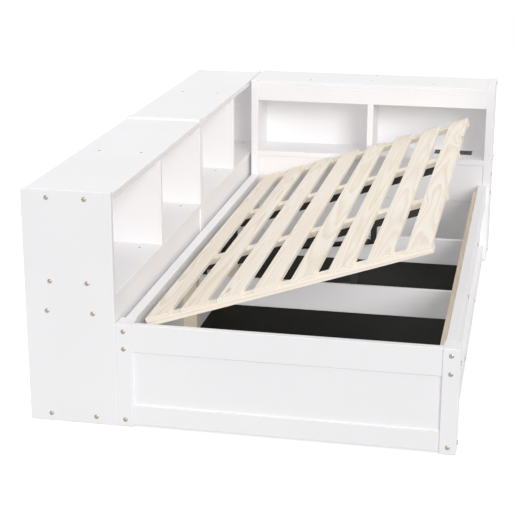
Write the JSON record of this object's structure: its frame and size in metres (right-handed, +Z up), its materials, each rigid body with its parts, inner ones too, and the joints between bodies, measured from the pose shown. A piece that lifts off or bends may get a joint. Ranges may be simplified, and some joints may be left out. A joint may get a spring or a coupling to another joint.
{
  "type": "bookcase headboard bed",
  "caption": "Lift-up storage bed with a hinged slatted deck, a bookcase headboard and a long side bookcase with open compartments.",
  "frame": {"origin": "middle of the footprint on the floor", "axes": "+X from the side bookcase towards the free side, +Y from foot to headboard, +Z up"},
  "size_m": [1.3246, 2.2202, 0.746],
  "materials": {
    "white_paint": "satin white lacquer on board",
    "pine_slats": "planed pine, unfinished",
    "pine_battens": "planed pine, unfinished",
    "raw_pine": "sawn pine",
    "black_board": "matte black faced board",
    "brown_board": "raw fibreboard",
    "black_steel": "satin black",
    "black_strut": "gloss black",
    "steel_rod": "polished",
    "bolt_steel": "yellow zinc",
    "black_plastic": "matte"
  },
  "bodies": {
    "bed_frame": {"beam_blocks": "raw_pine", "board_screws": "bolt_steel", "cross_beam_front": "white_paint", "cross_beam_rear": "white_paint", "deck_cleat": "raw_pine", "floor_strips": "raw_pine", "foot_post_left": "white_paint", "foot_post_right": "white_paint", "footboard_bottom_rail": "white_paint", "footboard_panel": "white_paint", "footboard_top_rail": "white_paint", "headboard_apron": "white_paint", "headboard_divider": "white_paint", "headboard_end_panel_left": "white_paint", "headboard_end_panel_right": "white_paint", "headboard_inner_back": "white_paint", "headboard_lower_panels": "white_paint", "headboard_lower_rail": "white_paint", "headboard_outer_back": "brown_board", "headboard_power_outlet": "black_plastic", "headboard_shelf": "white_paint", "headboard_top": "white_paint", "lift_base_brackets": "black_steel", "panel_bolts": "bolt_steel", "side_bookcase_back_panels": "white_paint", "side_bookcase_base_front_front": "white_paint", "side_bookcase_base_front_rear": "white_paint", "side_bookcase_bottom_boards": "white_paint", "side_bookcase_divider_front": "white_paint", "side_bookcase_divider_rear": "white_paint", "side_bookcase_end_panel_centre_front": "white_paint", "side_bookcase_end_panel_centre_rear": "white_paint", "side_bookcase_end_panel_front": "white_paint", "side_bookcase_end_panel_rear": "white_paint", "side_bookcase_shelf_front": "white_paint", "side_bookcase_shelf_rear": "white_paint", "side_bookcase_top_front": "white_paint", "side_bookcase_top_rear": "white_paint", "side_bottom_rails": "white_paint", "side_panels": "white_paint", "side_rail_left": "white_paint", "side_rail_right": "white_paint", "storage_floor_boards": "black_board"},
    "slatted_deck": {"deck_batten_foot": "pine_battens", "deck_batten_front_lift": "pine_battens", "deck_batten_head": "pine_battens", "deck_batten_rear_lift": "pine_battens", "deck_slat_1": "pine_slats", "deck_slat_2": "pine_slats", "deck_slat_3": "pine_slats", "deck_slat_4": "pine_slats", "deck_slat_5": "pine_slats", "deck_slat_6": "pine_slats", "deck_slat_7": "pine_slats", "deck_slat_8": "pine_slats", "lift_arms": "black_steel"},
    "strut_rod_rear_body": {"strut_rod_rear": "steel_rod"},
    "strut_rod_front_body": {"strut_rod_front": "steel_rod"},
    "strut_cylinder_rear_body": {"strut_cylinder_rear": "black_strut"},
    "strut_cylinder_front_body": {"strut_cylinder_front": "black_strut"}
  },
  "joints": [
    {"name": "deck_hinge", "type": "hinge", "parent": "bed_frame", "child": "slatted_deck", "pos_m": [-0.2903, -0.0935, 0.309], "axis": [0, -1, 0], "range_deg": [-18.8, 26]},
    {"name": "strut_pivot_rear", "type": "hinge", "parent": "bed_frame", "child": "strut_rod_rear_body", "pos_m": [-0.2903, 0.176, 0.186], "axis": [0, -1, 0], "range_deg": [-18.64, 25.59]},
    {"name": "strut_stroke_rear", "type": "slide", "parent": "strut_rod_rear_body", "child": "strut_cylinder_rear_body", "axis": [0.9907, 0, 0.1358], "range_m": [-0.04, 0.055]},
    {"name": "strut_pivot_front", "type": "hinge", "parent": "bed_frame", "child": "strut_rod_front_body", "pos_m": [-0.2903, -0.363, 0.186], "axis": [0, -1, 0], "range_deg": [-18.64, 25.59]},
    {"name": "strut_stroke_front", "type": "slide", "parent": "strut_rod_front_body", "child": "strut_cylinder_front_body", "axis": [0.9907, 0, 0.1358], "range_m": [-0.04, 0.055]}
  ],
  "couplings": [
    {"joint": "strut_pivot_rear", "follows": "deck_hinge", "ratio": 0.965},
    {"joint": "strut_stroke_rear", "follows": "deck_hinge", "m_per_rad": 0.119},
    {"joint": "strut_pivot_front", "follows": "deck_hinge", "ratio": 0.965},
    {"joint": "strut_stroke_front", "follows": "deck_hinge", "m_per_rad": 0.119}
  ]
}
